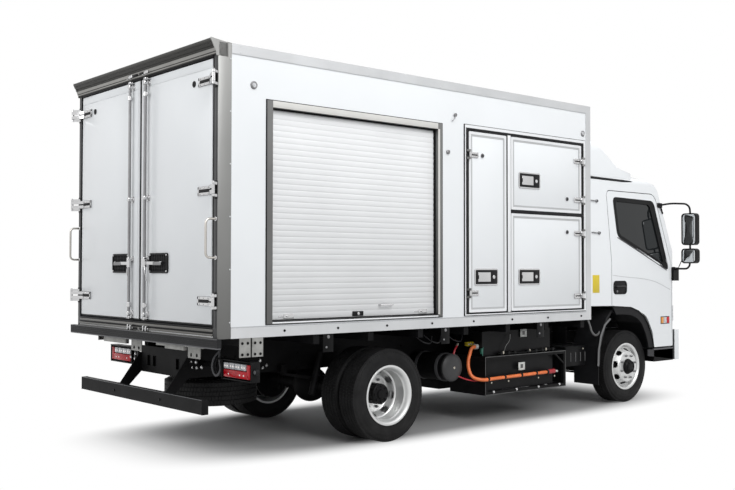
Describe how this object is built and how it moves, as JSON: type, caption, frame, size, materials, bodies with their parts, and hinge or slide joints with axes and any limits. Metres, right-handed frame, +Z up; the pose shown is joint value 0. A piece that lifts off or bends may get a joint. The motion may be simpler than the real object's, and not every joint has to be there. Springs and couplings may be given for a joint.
{
  "type": "refrigerated truck",
  "caption": "Cab-over truck with an insulated body that has twin rear doors, a side roller shutter and side lockers, on twin rear wheels.",
  "frame": {"origin": "on the ground under the middle of the truck's overall length and width", "axes": "+X forward along the truck, +Y to its left, +Z up"},
  "size_m": [6.7581, 2.68, 3.24],
  "materials": {
    "white_panel": "satin",
    "white_cab": "gloss",
    "black_steel": "satin",
    "stainless": "satin",
    "aluminium_profile": "satin",
    "curtain_aluminium": "satin",
    "wheel_silver": "satin",
    "tread_rubber": "matte",
    "buffer_rubber": "matte",
    "black_plastic": "matte",
    "grey_plastic": "matte",
    "lamp_red": "gloss",
    "lamp_clear": "gloss",
    "orange_cable": "satin",
    "cast_axle": "matte",
    "cab_glass": "clear",
    "seat_fabric": "woven"
  },
  "bodies": {
    "chassis": {"frame_rails": "black_steel", "frame_crossmembers": "black_steel", "frame_brackets": "black_steel", "subframe_rails": "black_steel", "propeller_shaft": "cast_axle", "corner_steps": "black_plastic", "side_plates": "aluminium_profile", "front_axle_beam": "cast_axle", "rear_axle": "cast_axle", "leaf_springs": "black_steel", "drive_motor": "cast_axle", "battery_frames": "black_steel", "battery_packs": "black_steel", "high_voltage_cable": "orange_cable", "air_tank": "black_steel", "spare_tyre": "tread_rubber", "spare_carrier": "black_steel", "tail_lamps": "lamp_red", "underrun_guard": "black_steel", "floor_bearers": "black_steel", "rear_buffer": "buffer_rubber", "front_mudguards": "black_plastic", "front_bumper": "white_cab", "box_floor": "stainless", "box_roof": "white_panel", "wall_left": "white_panel", "wall_right": "white_panel", "wall_front": "white_panel", "edge_profiles": "aluminium_profile", "rear_frame": "stainless", "side_frames": "aluminium_profile", "shutter_curtain": "curtain_aluminium"},
    "cab": {"cab_shell": "white_cab", "windscreen": "cab_glass", "dashboard": "grey_plastic", "seats": "seat_fabric", "roof_deflector": "white_cab", "headlamps": "lamp_clear", "mirrors": "black_plastic"},
    "left_cab_door": {"cab_door_left": "white_cab", "door_glass_left": "cab_glass"},
    "right_cab_door": {"cab_door_right": "white_cab", "door_glass_right": "cab_glass"},
    "left_rear_door": {"rear_door_left": "white_panel"},
    "right_rear_door": {"rear_door_right": "white_panel"},
    "tall_side_door": {"side_door_tall": "white_panel"},
    "lower_side_door": {"side_door_lower": "white_panel"},
    "upper_side_door": {"side_door_upper": "white_panel"},
    "left_knuckle": {"knuckle_left": "cast_axle"},
    "right_knuckle": {"knuckle_right": "cast_axle"},
    "steering_link": {"tie_rod": "black_steel"},
    "left_front_wheel": {"front_tyre_left": "tread_rubber", "front_rim_left": "wheel_silver"},
    "right_front_wheel": {"front_tyre_right": "tread_rubber", "front_rim_right": "wheel_silver"},
    "left_rear_wheels": {"rear_tyres_left": "tread_rubber", "rear_rims_left": "wheel_silver"},
    "right_rear_wheels": {"rear_tyres_right": "tread_rubber", "rear_rims_right": "wheel_silver"}
  },
  "joints": [
    {"name": "steer_left", "type": "hinge", "parent": "chassis", "child": "left_knuckle", "pos_m": [2.274, 0.762, 0.405], "axis": [0, 0, 1], "range_deg": [-35, 35]},
    {"name": "steer_right", "type": "hinge", "parent": "chassis", "child": "right_knuckle", "pos_m": [2.274, -0.762, 0.405], "axis": [0, 0, 1], "range_deg": [-35, 35]},
    {"name": "link_slide", "type": "slide", "parent": "chassis", "child": "steering_link", "axis": [0, 1, 0], "range_m": [-0.087, 0.087]},
    {"name": "front_left_spin", "type": "hinge", "parent": "left_knuckle", "child": "left_front_wheel", "pos_m": [2.274, 0.862, 0.405], "axis": [0, 1, 0], "continuous": true},
    {"name": "front_right_spin", "type": "hinge", "parent": "right_knuckle", "child": "right_front_wheel", "pos_m": [2.274, -0.862, 0.405], "axis": [0, 1, 0], "continuous": true},
    {"name": "rear_left_spin", "type": "hinge", "parent": "chassis", "child": "left_rear_wheels", "pos_m": [-1.479, 0.91, 0.405], "axis": [0, 1, 0], "continuous": true},
    {"name": "rear_right_spin", "type": "hinge", "parent": "chassis", "child": "right_rear_wheels", "pos_m": [-1.479, -0.91, 0.405], "axis": [0, 1, 0], "continuous": true},
    {"name": "cab_tilt", "type": "hinge", "parent": "chassis", "child": "cab", "pos_m": [3.177, 0, 0.84], "axis": [0, 1, 0], "range_deg": [0, 45]},
    {"name": "left_cab_door_hinge", "type": "hinge", "parent": "cab", "child": "left_cab_door", "pos_m": [3.081, 1.018, 1.2], "axis": [0, 0, -1], "range_deg": [0, 70]},
    {"name": "right_cab_door_hinge", "type": "hinge", "parent": "cab", "child": "right_cab_door", "pos_m": [3.081, -1.018, 1.2], "axis": [0, 0, 1], "range_deg": [0, 70]},
    {"name": "left_rear_door_hinge", "type": "hinge", "parent": "chassis", "child": "left_rear_door", "pos_m": [-3.335, 1.25, 2], "axis": [0, 0, -1], "range_deg": [0, 270]},
    {"name": "right_rear_door_hinge", "type": "hinge", "parent": "chassis", "child": "right_rear_door", "pos_m": [-3.335, -1.25, 2], "axis": [0, 0, 1], "range_deg": [0, 270]},
    {"name": "tall_side_door_hinge", "type": "hinge", "parent": "chassis", "child": "tall_side_door", "pos_m": [-0.569, -1.2455, 2], "axis": [0, 0, -1], "range_deg": [0, 180]},
    {"name": "lower_side_door_hinge", "type": "hinge", "parent": "chassis", "child": "lower_side_door", "pos_m": [1.133, -1.2455, 1.5], "axis": [0, 0, 1], "range_deg": [0, 180]},
    {"name": "upper_side_door_hinge", "type": "hinge", "parent": "chassis", "child": "upper_side_door", "pos_m": [1.133, -1.2455, 2.4], "axis": [0, 0, 1], "range_deg": [0, 180]}
  ],
  "couplings": [
    {"joint": "steer_right", "follows": "steer_left", "ratio": 1},
    {"joint": "link_slide", "follows": "steer_left", "m_per_rad": -0.141}
  ]
}
